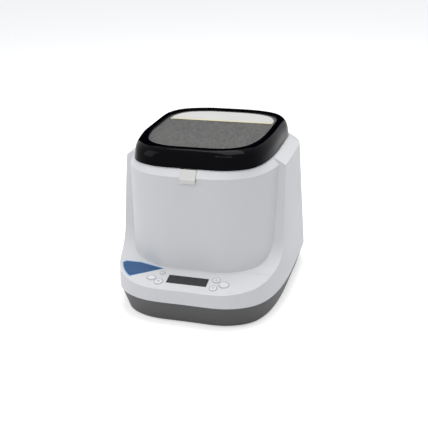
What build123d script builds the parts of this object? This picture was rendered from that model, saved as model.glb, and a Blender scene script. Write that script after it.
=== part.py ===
from build123d import *
from math import cos, pi, radians, sin, tan
from typing import NamedTuple
import os

os.makedirs("parts", exist_ok=True)

# Heights above the bench
foot_height = 3.0
seam_z = 38.5
crease_z = 224.0
rim_z = 235.0
lid_foot_gap = 1.0
lid_height = 25.7
lid_foot_z = rim_z + lid_foot_gap
lid_top_z = lid_foot_z + lid_height

# Housing and base
housing_width = 270.0
housing_depth = 324.0
wall = 3.0
wall_draft = 6.0
rear_lean = 14.0
base_flare = 11.5
widest_y = 55.0
base_floor = 3.0
seam_step = 0.6

# Tub in front of the cheeks
tub_half_width = 121.5
tub_front_y = -116.8
tub_foot_spread = 5.5
tub_front_lean = 4.8

# Deck and the sweep up to the cheeks
deck_slope = 13.3
deck_front_z = 60.2
sweep_radius = 46.6
cheek_y = -47.3
cheek_level_z = 152.6
cheek_lean = 11.8

# Lid
lid_half_width = 110.0
lid_front_y = -109.3
lid_rear_y = 137.0
lid_shoulder = 9.5
lid_wall = 3.0
lid_border = 9.0
window_thickness = 2.5
gasket_thickness = 1.0
liner_thickness = 2.5
liner_inset = 5.0

# Chamber, seal and rotor
chamber_y = 12.0
chamber_radius = 98.5
chamber_wall = 2.5
chamber_floor_z = 88.0
chamber_corner = 12.0
flange_width = 6.0
flange_thickness = 2.0
seal_height = 4.0
plate_width = 85.48
plate_clearance = 0.6
plate_pocket_depth = 18.0
carrier_wall = 2.0
rotor_reach = 84.0
rotor_base_z = 93.0
spindle_radius = 5.0

# Fits
running_gap = 0.05
slide_gap = 0.3
seat_gap = 0.3


class Plan(NamedTuple):
    """One level's outline: a squared oval, symmetric about the YZ plane."""

    half_width: float
    front: float
    rear: float
    middle: float
    front_power: float
    rear_power: float

    def inset(self, distance):
        return self._replace(
            half_width=self.half_width - distance,
            front=self.front + distance,
            rear=self.rear - distance,
        )

    def x_at(self, y):
        """Half the outline's width at one y."""
        ahead = y < self.middle
        reach = self.middle - self.front if ahead else self.rear - self.middle
        power = self.front_power if ahead else self.rear_power
        share = abs(y - self.middle) / reach
        return self.half_width * (1 - share**power) ** (1 / power)


def blend(low, high, share):
    """The outline part of the way from one level's to another's."""
    return Plan(*(a + (b - a) * share for a, b in zip(low, high)))


quadrant_points = 5


def quadrant(plan, side, forward):
    """Points of one quarter, from the widest place to the front or rear."""
    power = plan.front_power if forward else plan.rear_power
    reach = plan.front - plan.middle if forward else plan.rear - plan.middle
    points = []
    for step in range(quadrant_points + 1):
        angle = pi / 2 * step / quadrant_points
        x = side * plan.half_width * cos(angle) ** (2 / power)
        y = plan.middle + reach * sin(angle) ** (2 / power)
        points.append((x, y))
    points[-1] = (0, plan.middle + reach)
    return points


def draw_plan(plan, height):
    """Face of one level's outline, drawn in four smooth quarters."""
    with BuildSketch(Plane.XY.offset(height)) as level:
        with BuildLine():
            front_right = quadrant(plan, 1, True)
            front_left = quadrant(plan, -1, True)
            rear_right = quadrant(plan, 1, False)
            rear_left = quadrant(plan, -1, False)
            Spline(*front_right, tangents=((0, -1), (-1, 0)))
            Spline(*front_left[::-1], tangents=((-1, 0), (0, 1)))
            Spline(*rear_left, tangents=((0, 1), (1, 0)))
            Spline(*rear_right[::-1], tangents=((1, 0), (0, -1)))
        make_face()
    return level.sketch


half_width = housing_width / 2
half_depth = housing_depth / 2
body_low = Plan(half_width, -half_depth, half_depth, widest_y, 4.03, 3.6)
body_high = Plan(
    half_width - wall_draft,
    -half_depth + wall_draft,
    half_depth - rear_lean,
    widest_y,
    4.0,
    2.6,
)
tub_high = Plan(tub_half_width, tub_front_y, half_depth - 42, widest_y, 3.38, 3.0)
tub_low = tub_high._replace(
    half_width=tub_half_width + tub_foot_spread,
    front=tub_front_y + tub_front_lean,
)
lid_foot = Plan(lid_half_width, lid_front_y, lid_rear_y, widest_y, 4.2, 3.0)
lid_brow = lid_foot.inset(lid_shoulder)._replace(front=lid_front_y + 12.7, front_power=3.87)
rim_plan = lid_foot.inset(1.0)
base_high = body_low.inset(seam_step)
base_low = body_low.inset(base_flare)._replace(front_power=4.2, rear_power=3.8)

# The deck is a plane that climbs to the rear; its own axes carry the controls
deck_plane = Plane(
    origin=(0, -half_depth, deck_front_z),
    x_dir=(1, 0, 0),
    z_dir=(0, -sin(radians(deck_slope)), cos(radians(deck_slope))),
)


def sweep_face(drop):
    """Side view of what is missing ahead of the cheeks, above the deck."""
    deck_tan = tan(radians(deck_slope))
    lean_tan = tan(radians(cheek_lean))
    deck_z = deck_front_z - drop / cos(radians(deck_slope))
    strip_y = cheek_y + drop / cos(radians(cheek_lean))
    corner_y = (
        strip_y + (deck_z + deck_tan * half_depth - cheek_level_z) * lean_tan
    ) / (1 - deck_tan * lean_tan)
    corner_z = deck_z + (corner_y + half_depth) * deck_tan
    margin = 30.0
    top_z = rim_z + margin
    low_point = (-half_depth - margin, deck_z - margin * deck_tan)
    high_point = (strip_y + (top_z - cheek_level_z) * lean_tan, top_z)
    with BuildSketch(Plane.YZ) as cut:
        with BuildLine():
            FilletPolyline(
                low_point, (corner_y, corner_z), high_point, radius=sweep_radius - drop
            )
            Polyline(high_point, (low_point[0], top_z), low_point)
        make_face()
    return cut.sketch


def housing_form(inset, low_z):
    """Solid block of the housing with every wall moved in by one distance."""
    brow_z = crease_z - inset
    rim = draw_plan(rim_plan.inset(inset), rim_z - inset)
    body_foot = draw_plan(body_low.inset(inset), low_z)
    body_brow = draw_plan(body_high.inset(inset), brow_z)
    tub_foot = draw_plan(tub_low.inset(inset), low_z)
    tub_brow = draw_plan(tub_high.inset(inset), brow_z)
    sweep = sweep_face(inset)
    with BuildPart() as cheeks:
        loft([body_foot, body_brow, rim], ruled=True, clean=False)
        extrude(sweep, amount=housing_width, both=True, mode=Mode.SUBTRACT, clean=False)
    with BuildPart() as tub:
        loft([tub_foot, tub_brow, rim], ruled=True, clean=False)
        extrude(sweep, amount=housing_width, both=True, mode=Mode.INTERSECT, clean=False)
    with BuildPart() as form:
        add(cheeks.part, clean=False)
        add(tub.part, clean=False)
    return form.part


def side_face(x, points):
    """Polygon drawn in side view, from y and z pairs."""
    with BuildSketch(Plane.YZ.offset(x)) as face:
        Polygon(*points, align=None)
    return face.sketch


def level(z):
    """Horizontal plane at one height."""
    return Plane.XY.offset(z)


def deck_at(depth):
    """The deck's plane, sunk by a depth."""
    return deck_plane.offset(-depth)


sides = {"left": -1, "right": 1}

# Controls: places across the deck and up its slope
overlay_thickness = 0.5
overlay_recess = 0.6
overlay_edge = 4.5
overlay_tub_gap = 3.5
overlay_rear_y = -106.0
display_size = (63.0, 17.8)
display_s = 26.0
display_opening = (59.0, 14.0)
display_glass = 1.2
display_seat = 1.3
key_column = 43.5
key_outer_column = 57.4
key_shapes = {
    "key_lamp": (-key_column, 37.6, 6.5, 6.5),
    "key_open": (-key_outer_column, 24.2, 12.5, 9.5),
    "key_stop": (-key_column, 17.0, 11.5, 11.5),
    "key_up": (key_column, 34.0, 10.0, 10.0),
    "key_down": (key_column, 15.6, 10.0, 10.0),
    "key_start": (key_outer_column, 25.6, 14.0, 12.5),
}
key_rise = 0.9
key_rim = 1.5
key_flange = 1.0
key_stem = 3.0
key_stem_depth = 7.0
board_depth = 9.0
board_thickness = 1.6
board_size = (132.0, 38.0)
board_s = 27.0
board_post_radius = 3.0
board_post_grid = (124.0, 30.0)
board_screw_radius = 1.2
module_size = (70.0, 24.0)

# Screws that hold the housing to the base
boss_front = (88.0, -118.0)
boss_rear = (96.0, 120.0)
boss_radius = 6.0
boss_front_top_z = 68.0
boss_rear_top_z = 60.0
base_screw_radius = 2.0
base_screw_head = 3.6
base_screw_tip_z = 56.0
screw_gap = 0.1
boss_spots = [(side * x, y) for x, y in (boss_front, boss_rear) for side in (-1, 1)]

# Latch
latch_width = 25.0
latch_floor_z = 219.0
latch_rear_y = -97.5
latch_pin_y = -107.0
latch_pin_z = 228.0
latch_pin_radius = 1.5
latch_barrel_radius = 3.5
latch_barrel_width = 20.6
latch_ear = 2.0
latch_cheek = 3.2
latch_boss_low_z = 212.0
hook_width = 16.0

# Lid lock
lock_x = 40.0
lock_y = -96.0
lock_radius = 2.5
lock_size = (18.0, 15.0)
lock_low_z = 198.0
lock_rest_z = 236.5
lock_guide_gap = 0.3

# Rear panel
panel_size = (139.4, 59.2)
panel_z = 80.0
panel_y = 149.0
panel_thickness = 2.0
panel_ledge = 8.0
panel_block = 6.0
panel_block_depth = 4.0
panel_screw_inset = 8.0
panel_screw_radius = 1.5

mouth_radius = chamber_radius + chamber_wall + 0.5

# Everything that stays solid inside the housing's walls
with BuildPart() as housing_posts:
    with BuildSketch(level(seam_z - 1)):
        with Locations(*boss_spots[:2]):
            Circle(boss_radius)
    extrude(amount=boss_front_top_z - seam_z + 1)
    with BuildSketch(level(seam_z - 1)):
        with Locations(*boss_spots[2:]):
            Circle(boss_radius)
            Rectangle(62, 3)
    extrude(amount=boss_rear_top_z - seam_z + 1)
    with BuildSketch(deck_at(-1)):
        with Locations((0, board_s)):
            with GridLocations(*board_post_grid, 2, 2):
                Circle(board_post_radius)
    extrude(amount=-(board_depth + 1))
    with BuildSketch(level(latch_boss_low_z)):
        with Locations((0, latch_pin_y)):
            Rectangle(latch_width + 2 * (slide_gap + latch_cheek), 24)
    extrude(amount=rim_z - latch_boss_low_z)
    with BuildSketch(Plane.XZ.offset(-panel_y + panel_block_depth)):
        with Locations((0, panel_z)):
            Rectangle(panel_size[0] + 2 * panel_block, panel_size[1] + 2 * panel_block)
    extrude(amount=-30)

with BuildPart() as housing_core:
    add(housing_form(wall, seam_z - 1), clean=False)
    add(housing_posts.part, mode=Mode.SUBTRACT, clean=False)


def overlay_slab(grow, depth, thickness):
    """Slab of the overlay's outline, parallel to the deck."""
    outer = draw_plan(body_low.inset(overlay_edge - grow), seam_z)
    inner = draw_plan(tub_low.inset(-overlay_tub_gap + grow), seam_z)
    with BuildPart() as slab:
        with BuildSketch(deck_at(depth)):
            Rectangle(housing_width, housing_depth)
        extrude(amount=thickness)
        with BuildSketch(level(seam_z)):
            with Locations((0, overlay_rear_y + grow)):
                Rectangle(housing_width, 80, align=(Align.CENTER, Align.MAX))
        extrude(amount=60, mode=Mode.INTERSECT)
        extrude(outer, amount=60, mode=Mode.INTERSECT)
        extrude(inner, amount=60, mode=Mode.SUBTRACT)
    return slab.part


def key_outline(shape, grow):
    """Oval of one key, drawn larger by one distance, on the sketch in hand."""
    x, s, width, height = shape
    with Locations((x, s)):
        Ellipse(width / 2 + grow, height / 2 + grow)


# Housing: skirt, deck, sweep, cheeks, tub and rim in one thin moulding
with BuildPart() as housing_shell:
    add(housing_form(0, seam_z), clean=False)
    add(housing_core.part, mode=Mode.SUBTRACT, clean=False)
    with BuildSketch(level(rim_z - 8)):
        with Locations((0, chamber_y)):
            Circle(mouth_radius)
        with Locations((lock_x, lock_y)):
            Circle(lock_radius + lock_guide_gap)
    extrude(amount=10, mode=Mode.SUBTRACT, clean=False)
    with BuildSketch(level(latch_floor_z)):
        with Locations((0, latch_rear_y)):
            Rectangle(
                latch_width + 2 * slide_gap, 30, align=(Align.CENTER, Align.MAX)
            )
    extrude(amount=rim_z - latch_floor_z + 1, mode=Mode.SUBTRACT, clean=False)
    with BuildSketch(level(seam_z)):
        with Locations(*boss_spots):
            Circle(base_screw_radius + screw_gap)
    extrude(amount=base_screw_tip_z - seam_z + 1, mode=Mode.SUBTRACT, clean=False)
    with BuildSketch(Plane.XZ.offset(-panel_y)):
        with Locations((0, panel_z)):
            Rectangle(panel_size[0] + 2 * seat_gap, panel_size[1] + 2 * seat_gap)
    extrude(amount=-20, mode=Mode.SUBTRACT, clean=False)
    with BuildSketch(Plane.XZ.offset(-panel_y + panel_block_depth + 1)):
        with Locations((0, panel_z)):
            Rectangle(panel_size[0] - 2 * panel_ledge, panel_size[1] - 2 * panel_ledge)
            with GridLocations(
                panel_size[0] - panel_screw_inset, panel_size[1] - panel_screw_inset, 2, 2
            ):
                Circle(panel_screw_radius + screw_gap)
    extrude(amount=-10, mode=Mode.SUBTRACT, clean=False)
    add(
        overlay_slab(seat_gap, overlay_recess, overlay_recess + 5),
        mode=Mode.SUBTRACT,
        clean=False,
    )
    with BuildSketch(deck_at(display_seat)):
        with Locations((0, display_s)):
            Rectangle(display_size[0] + 2 * seat_gap, display_size[1] + 2 * seat_gap)
    extrude(amount=display_seat + 1, mode=Mode.SUBTRACT, clean=False)
    with BuildSketch(deck_at(wall + 1)):
        with Locations((0, display_s)):
            Rectangle(*display_opening)
        for shape in key_shapes.values():
            key_outline(shape, slide_gap)
    extrude(amount=wall + 2, mode=Mode.SUBTRACT, clean=False)
    with BuildSketch(deck_at(board_depth)):
        with Locations((0, board_s)):
            with GridLocations(*board_post_grid, 2, 2):
                Circle(board_screw_radius + screw_gap)
    extrude(amount=4.4, mode=Mode.SUBTRACT, clean=False)
housing_shell.part.label = "housing_shell"
export_step(housing_shell.part, "parts/housing_shell.step")

# Base tray: grey foot whose walls draw in towards the bench
tray_floor_z = foot_height + base_floor
tray_floor_share = base_floor / (seam_z - foot_height)
foot_spots = [(side * x, y) for x, y in ((70.0, -126.0), (84.0, 128.0)) for side in (-1, 1)]
foot_radius = 9.0
foot_plug_radius = 4.0
foot_plug = 2.0
tray_inner = blend(base_low, base_high, tray_floor_share).inset(wall)

with BuildPart() as base_tray:
    loft([draw_plan(base_low, foot_height), draw_plan(base_high, seam_z)], ruled=True)
    loft(
        [draw_plan(tray_inner, tray_floor_z), draw_plan(base_high.inset(wall), seam_z)],
        ruled=True,
        mode=Mode.SUBTRACT,
    )
    with BuildSketch(level(foot_height + 1)):
        with Locations(*boss_spots):
            Circle(boss_radius)
    extrude(amount=seam_z - foot_height - 1)
    with BuildSketch(level(foot_height)):
        with Locations(*boss_spots):
            Circle(base_screw_radius + screw_gap)
    extrude(amount=seam_z, mode=Mode.SUBTRACT)
    with BuildSketch(level(foot_height)):
        with Locations(*boss_spots):
            Circle(base_screw_head + seat_gap)
        with Locations(*foot_spots):
            Circle(foot_plug_radius + screw_gap)
    extrude(amount=foot_plug + screw_gap, mode=Mode.SUBTRACT)
base_tray.part.label = "base_tray"
export_step(base_tray.part, "parts/base_tray.step")

with BuildPart() as base_feet:
    with BuildSketch(level(0)):
        with Locations(*foot_spots):
            Circle(foot_radius)
    extrude(amount=foot_height, taper=4)
    with BuildSketch(level(foot_height)):
        with Locations(*foot_spots):
            Circle(foot_plug_radius)
    extrude(amount=foot_plug)
base_feet.part.label = "base_feet"
export_step(base_feet.part, "parts/base_feet.step")


def screw_heads(spots, plane, radius, height, socket):
    """Round screw heads with a hexagonal socket in the outer face."""
    with BuildPart() as heads:
        with BuildSketch(plane):
            with Locations(*spots):
                Circle(radius)
        extrude(amount=height)
        with BuildSketch(plane.offset(height)):
            with Locations(*spots):
                RegularPolygon(socket, 6)
        extrude(amount=-height * 0.6, mode=Mode.SUBTRACT)
    return heads.part


with BuildPart() as base_screws:
    with BuildSketch(level(foot_height + foot_plug)):
        with Locations(*boss_spots):
            Circle(base_screw_radius)
    extrude(amount=base_screw_tip_z - foot_height - foot_plug)
    add(
        screw_heads(
            [(x, -y) for x, y in boss_spots],
            Plane(origin=(0, 0, foot_height + foot_plug), z_dir=(0, 0, -1), x_dir=(1, 0, 0)),
            base_screw_head,
            foot_plug - seat_gap,
            base_screw_radius,
        )
    )
base_screws.part.label = "base_screws"
export_step(base_screws.part, "parts/base_screws.step")

# Chassis plate with the motor on rubber dampers
chassis_thickness = 2.0
chassis_size = (160.0, 244.0)
chassis_y = 13.0
chassis_z = tray_floor_z + chassis_thickness
damper_spots = [(x, chamber_y + y) for x in (-42.0, 42.0) for y in (-42.0, 42.0)]
damper_radius = 8.0
damper_waist = 5.5
damper_height = 18.0
motor_plate_z = chassis_z + damper_height
motor_plate_size = 104.0
motor_plate_thickness = 3.0
motor_z = motor_plate_z + motor_plate_thickness
motor_radius = 32.0
motor_top_z = 77.0
motor_nose_radius = 11.0
motor_nose_z = 82.0
spindle_foot_z = 33.0
spindle_top_z = 126.0

with BuildPart() as chassis_plate:
    with BuildSketch(level(tray_floor_z)):
        with Locations((0, chassis_y)):
            RectangleRounded(*chassis_size, 10)
            with GridLocations(120, 210, 2, 2):
                SlotOverall(16, 6, mode=Mode.SUBTRACT)
    extrude(amount=chassis_thickness)
chassis_plate.part.label = "chassis_plate"
export_step(chassis_plate.part, "parts/chassis_plate.step")

with BuildPart() as motor_dampers:
    with BuildSketch(level(chassis_z)):
        with Locations(*damper_spots):
            Circle(damper_radius)
    extrude(amount=damper_height / 2, taper=12)
    with BuildSketch(level(motor_plate_z)):
        with Locations(*damper_spots):
            Circle(damper_radius)
    extrude(amount=-damper_height / 2, taper=12)
    with BuildSketch(level(chassis_z)):
        with Locations(*damper_spots):
            Circle(damper_waist)
    extrude(amount=damper_height)
motor_dampers.part.label = "motor_dampers"
export_step(motor_dampers.part, "parts/motor_dampers.step")

with BuildPart() as motor_plate:
    with BuildSketch(level(motor_plate_z)):
        with Locations((0, chamber_y)):
            RectangleRounded(motor_plate_size, motor_plate_size, 10)
            with PolarLocations(44, 4):
                SlotOverall(20, 5, rotation=90, mode=Mode.SUBTRACT)
    extrude(amount=motor_plate_thickness)
motor_plate.part.label = "motor_plate"
export_step(motor_plate.part, "parts/motor_plate.step")

with BuildPart() as motor_body:
    with BuildSketch(level(motor_z)):
        with Locations((0, chamber_y)):
            Circle(motor_radius)
            with PolarLocations(motor_radius, 12):
                Circle(1.5, mode=Mode.SUBTRACT)
    extrude(amount=motor_top_z - motor_z)
    with BuildSketch(level(motor_top_z)):
        with Locations((0, chamber_y)):
            Circle(motor_nose_radius)
    extrude(amount=motor_nose_z - motor_top_z)
    with BuildSketch(level(spindle_foot_z - 1)):
        with Locations((0, chamber_y)):
            Circle(spindle_radius + running_gap)
    extrude(amount=motor_nose_z, mode=Mode.SUBTRACT)
motor_body.part.label = "motor_body"
export_step(motor_body.part, "parts/motor_body.step")

# Power supply behind the motor, in a slotted case
supply_size = (120.0, 56.0, 35.0)
supply_y = 104.0

with BuildPart() as power_supply:
    with BuildSketch(level(chassis_z)):
        with Locations((0, supply_y)):
            RectangleRounded(supply_size[0], supply_size[1], 2)
    extrude(amount=supply_size[2])
    with BuildSketch(level(chassis_z + supply_size[2])):
        with Locations((0, supply_y)):
            with GridLocations(8, 0, 12, 1):
                SlotOverall(40, 3.5, rotation=90)
    extrude(amount=-2, mode=Mode.SUBTRACT)
power_supply.part.label = "power_supply"
export_step(power_supply.part, "parts/power_supply.step")

# Chamber bowl, hung from the rim by its flange, and the seal on the flange
bowl_radius = chamber_radius + chamber_wall
flange_radius = bowl_radius + flange_width
flange_z = rim_z + flange_thickness
bowl_under_z = chamber_floor_z - chamber_wall
bowl_hole = 14.0
bowl_lip = 3.0
seal_inner = 101.0
seal_outer = 105.0
seal_top_z = flange_z + seal_height - seat_gap
corner_share = 1 - cos(radians(45))
outer_corner = chamber_corner + chamber_wall


with BuildPart() as chamber_bowl:
    with BuildSketch(Plane.XZ.offset(-chamber_y)):
        with BuildLine():
            Polyline(
                (bowl_radius, chamber_floor_z + chamber_corner),
                (bowl_radius, rim_z),
                (flange_radius, rim_z),
                (flange_radius, flange_z),
                (chamber_radius, flange_z),
                (chamber_radius, chamber_floor_z + chamber_corner),
            )
            ThreePointArc(
                (chamber_radius, chamber_floor_z + chamber_corner),
                (
                    chamber_radius - chamber_corner * corner_share,
                    chamber_floor_z + chamber_corner * corner_share,
                ),
                (chamber_radius - chamber_corner, chamber_floor_z),
            )
            Polyline(
                (chamber_radius - chamber_corner, chamber_floor_z),
                (bowl_hole + chamber_wall, chamber_floor_z),
                (bowl_hole + chamber_wall, chamber_floor_z + bowl_lip),
                (bowl_hole, chamber_floor_z + bowl_lip),
                (bowl_hole, bowl_under_z),
                (bowl_radius - outer_corner, bowl_under_z),
            )
            ThreePointArc(
                (bowl_radius - outer_corner, bowl_under_z),
                (
                    bowl_radius - outer_corner * corner_share,
                    bowl_under_z + outer_corner * corner_share,
                ),
                (bowl_radius, bowl_under_z + outer_corner),
            )
        make_face()
    revolve(axis=Axis((0, chamber_y, 0), (0, 0, 1)))
chamber_bowl.part.label = "chamber_bowl"
export_step(chamber_bowl.part, "parts/chamber_bowl.step")

with BuildPart() as lid_seal:
    with BuildSketch(Plane.XZ.offset(-chamber_y)):
        Polygon(
            (seal_inner, flange_z),
            (seal_outer, flange_z),
            (seal_outer, flange_z + 1),
            (seal_outer - 1.2, seal_top_z - 0.4),
            (seal_outer - 1.8, seal_top_z),
            (seal_inner + 1.0, seal_top_z),
            (seal_inner, seal_top_z - 1),
            align=None,
        )
    revolve(axis=Axis((0, chamber_y, 0), (0, 0, 1)))
lid_seal.part.label = "lid_seal"
export_step(lid_seal.part, "parts/lid_seal.step")

# Rotor: spindle, yoke, two carriers that hold a plate on edge, nut
yoke_width = 60.0
yoke_thickness = 4.0
yoke_top_z = rotor_base_z + yoke_thickness
hub_radius = 20.0
hub_top_z = 118.0
yoke_rib = 4.0
carrier_floor = 3.0
carrier_top_z = 200.0
carrier_half_length = plate_width / 2 + plate_clearance + carrier_wall
carrier_inner_x = rotor_reach - carrier_wall - plate_pocket_depth
carrier_lip = 7.3
carrier_corner = 4.0
carrier_screw_x = 72.0
carrier_screw_y = 18.0
carrier_screw_radius = 1.5
carrier_screw_head = 3.0
nut_radius = 13.0
nut_height = 14.0

with BuildPart() as spindle:
    with BuildSketch(level(spindle_foot_z)):
        with Locations((0, chamber_y)):
            Circle(spindle_radius)
    extrude(amount=spindle_top_z - spindle_foot_z)
    chamfer(spindle.faces().sort_by(Axis.Z)[-1].edges(), length=1)
spindle.part.label = "spindle"
export_step(spindle.part, "parts/spindle.step")

with BuildPart() as rotor_yoke:
    with BuildSketch(level(rotor_base_z)):
        with Locations((0, chamber_y)):
            RectangleRounded(2 * rotor_reach, yoke_width, 8)
            with Locations((-41, 0), (41, 0)):
                SlotOverall(30, 14, mode=Mode.SUBTRACT)
    extrude(amount=yoke_thickness)
    with BuildSketch(level(rotor_base_z)):
        with Locations((0, chamber_y)):
            Circle(hub_radius)
    extrude(amount=hub_top_z - rotor_base_z)
    for y in (chamber_y - 14, chamber_y + 14):
        with BuildSketch(Plane.XZ.offset(-y)):
            Polygon(
                (-carrier_inner_x + 4, rotor_base_z + 1),
                (carrier_inner_x - 4, rotor_base_z + 1),
                (carrier_inner_x - 4, yoke_top_z + 2),
                (hub_radius * 0.6, hub_top_z - 3),
                (-hub_radius * 0.6, hub_top_z - 3),
                (-carrier_inner_x + 4, yoke_top_z + 2),
                align=None,
            )
        extrude(amount=yoke_rib / 2, both=True)
    with BuildSketch(level(rotor_base_z)):
        with Locations((0, chamber_y)):
            Circle(spindle_radius + running_gap)
            with GridLocations(2 * carrier_screw_x, 2 * carrier_screw_y, 2, 2):
                Circle(carrier_screw_radius + screw_gap)
    extrude(amount=hub_top_z, mode=Mode.SUBTRACT)
rotor_yoke.part.label = "rotor_yoke"
export_step(rotor_yoke.part, "parts/rotor_yoke.step")

for name, side in sides.items():
    with BuildPart() as plate_carrier:
        with BuildSketch(level(yoke_top_z)):
            with Locations((side * (rotor_reach + carrier_inner_x) / 2, chamber_y)):
                RectangleRounded(
                    rotor_reach - carrier_inner_x, 2 * carrier_half_length, carrier_corner
                )
        extrude(amount=carrier_top_z - yoke_top_z)
        pocket_x = side * (rotor_reach - carrier_wall - plate_pocket_depth / 2)
        with BuildSketch(level(yoke_top_z + carrier_floor)):
            with Locations((pocket_x, chamber_y)):
                Rectangle(plate_pocket_depth, 2 * (carrier_half_length - carrier_wall))
            with Locations((side * carrier_inner_x, chamber_y)):
                Rectangle(plate_pocket_depth, 2 * (carrier_half_length - carrier_lip))
        extrude(amount=carrier_top_z, mode=Mode.SUBTRACT)
        # windows that lighten the outer wall
        with BuildSketch(Plane.YZ.offset(side * (rotor_reach - plate_pocket_depth / 2))):
            with Locations((chamber_y, (yoke_top_z + carrier_top_z) / 2 + 4)):
                with GridLocations(20, 0, 4, 1):
                    SlotOverall(74, 11, rotation=90)
        extrude(amount=side * plate_pocket_depth, mode=Mode.SUBTRACT)
        with BuildSketch(level(yoke_top_z - 1)):
            with Locations((side * carrier_screw_x, chamber_y)):
                with GridLocations(0, 2 * carrier_screw_y, 1, 2):
                    Circle(carrier_screw_radius + screw_gap)
        extrude(amount=carrier_floor + 2, mode=Mode.SUBTRACT)
        with BuildSketch(level(yoke_top_z + carrier_floor - 2)):
            with Locations((side * carrier_screw_x, chamber_y)):
                with GridLocations(0, 2 * carrier_screw_y, 1, 2):
                    Circle(carrier_screw_head + seat_gap)
        extrude(amount=3, mode=Mode.SUBTRACT)
    plate_carrier.part.label = f"plate_carrier_{name}"
    export_step(plate_carrier.part, f"parts/plate_carrier_{name}.step")

carrier_screw_spots = [
    (x, chamber_y + y)
    for x in (-carrier_screw_x, carrier_screw_x)
    for y in (-carrier_screw_y, carrier_screw_y)
]
with BuildPart() as rotor_screws:
    with BuildSketch(level(rotor_base_z + 0.5)):
        with Locations(*carrier_screw_spots):
            Circle(carrier_screw_radius)
    extrude(amount=yoke_top_z + carrier_floor - 2 - rotor_base_z - 0.5)
    add(
        screw_heads(
            carrier_screw_spots,
            level(yoke_top_z + carrier_floor - 2),
            carrier_screw_head,
            1.8,
            carrier_screw_radius,
        )
    )
rotor_screws.part.label = "rotor_screws"
export_step(rotor_screws.part, "parts/rotor_screws.step")

with BuildPart() as rotor_nut:
    with BuildSketch(level(hub_top_z)):
        with Locations((0, chamber_y)):
            Circle(nut_radius)
            with PolarLocations(nut_radius + 1, 10):
                Circle(2.2, mode=Mode.SUBTRACT)
    extrude(amount=nut_height)
    chamfer(rotor_nut.faces().sort_by(Axis.Z)[-1].edges(), length=1)
    with BuildSketch(level(hub_top_z)):
        with Locations((0, chamber_y)):
            Circle(spindle_radius + running_gap)
    extrude(amount=spindle_top_z - hub_top_z + 1, mode=Mode.SUBTRACT)
rotor_nut.part.label = "rotor_nut"
export_step(rotor_nut.part, "parts/rotor_nut.step")

# Overlay, badge, window and display on the deck
with BuildPart() as control_overlay:
    add(overlay_slab(0, overlay_recess, overlay_thickness))
    with BuildSketch(deck_at(overlay_recess)):
        with Locations((0, display_s)):
            Rectangle(display_size[0] + 2 * seat_gap, display_size[1] + 2 * seat_gap)
        for shape in key_shapes.values():
            key_outline(shape, slide_gap)
    extrude(amount=overlay_recess, mode=Mode.SUBTRACT)
control_overlay.part.label = "control_overlay"
export_step(control_overlay.part, "parts/control_overlay.step")

badge_points = ((-114.4, 52.0), (-109.5, 55.6), (-85.2, 55.6), (-46.5, 47.2))
badge_low = (-92.5, 23.0)
badge_edge = (-107.4, 38.0)
badge_thickness = 0.4

with BuildPart() as badge_plate:
    with BuildSketch(deck_at(overlay_recess - overlay_thickness)):
        with BuildLine():
            Polyline(*badge_points, badge_low)
            ThreePointArc(badge_low, badge_edge, badge_points[0])
        make_face()
    extrude(amount=badge_thickness)
badge_plate.part.label = "badge_plate"
export_step(badge_plate.part, "parts/badge_plate.step")

with BuildPart() as display_window:
    with BuildSketch(deck_at(display_seat)):
        with Locations((0, display_s)):
            RectangleRounded(*display_size, 0.6)
    extrude(amount=display_glass)
display_window.part.label = "display_window"
export_step(display_window.part, "parts/display_window.step")

with BuildPart() as display_module:
    with BuildSketch(deck_at(board_depth)):
        with Locations((0, display_s)):
            Rectangle(*module_size)
    extrude(amount=board_depth - wall - 1.2)
    with BuildSketch(deck_at(board_depth)):
        with Locations((0, display_s)):
            Rectangle(display_opening[0] + 4, display_opening[1] + 4)
    extrude(amount=board_depth - wall - 0.2)
display_module.part.label = "display_module"
export_step(display_module.part, "parts/display_module.step")

switch_gap = 1.3
with BuildPart() as control_board:
    with BuildSketch(deck_at(board_depth)):
        with Locations((0, board_s)):
            RectangleRounded(*board_size, 2)
            with GridLocations(*board_post_grid, 2, 2):
                Circle(board_screw_radius + screw_gap, mode=Mode.SUBTRACT)
    extrude(amount=-board_thickness)
    with BuildSketch(deck_at(board_depth)):
        for x, s, width, height in key_shapes.values():
            with Locations((x, s)):
                Rectangle(6, 6)
    extrude(amount=board_depth - key_stem_depth - switch_gap)
control_board.part.label = "control_board"
export_step(control_board.part, "parts/control_board.step")

board_screw_spots = [
    (x, board_s + s)
    for x in (-board_post_grid[0] / 2, board_post_grid[0] / 2)
    for s in (-board_post_grid[1] / 2, board_post_grid[1] / 2)
]
with BuildPart() as board_screws:
    with BuildSketch(deck_at(board_depth + board_thickness)):
        with Locations(*board_screw_spots):
            Circle(board_screw_radius)
    extrude(amount=board_thickness + 4)
    with BuildSketch(deck_at(board_depth + board_thickness)):
        with Locations(*board_screw_spots):
            Circle(2 * board_screw_radius)
    extrude(amount=-1.6)
board_screws.part.label = "board_screws"
export_step(board_screws.part, "parts/board_screws.step")

for name, shape in key_shapes.items():
    with BuildPart() as key:
        with BuildSketch(deck_at(wall + seat_gap)):
            key_outline(shape, 0)
        extrude(amount=wall + seat_gap + key_rise)
        chamfer(key.faces().sort_by(Axis.Z)[-1].edges(), length=0.4)
        with BuildSketch(deck_at(wall + seat_gap)):
            key_outline(shape, key_rim)
        extrude(amount=-key_flange)
        with BuildSketch(deck_at(wall + seat_gap + key_flange)):
            with Locations(shape[:2]):
                Circle(key_stem / 2)
        extrude(amount=-(key_stem_depth - wall - seat_gap - key_flange))
    key.part.label = name
    export_step(key.part, f"parts/{name}.step")

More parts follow.
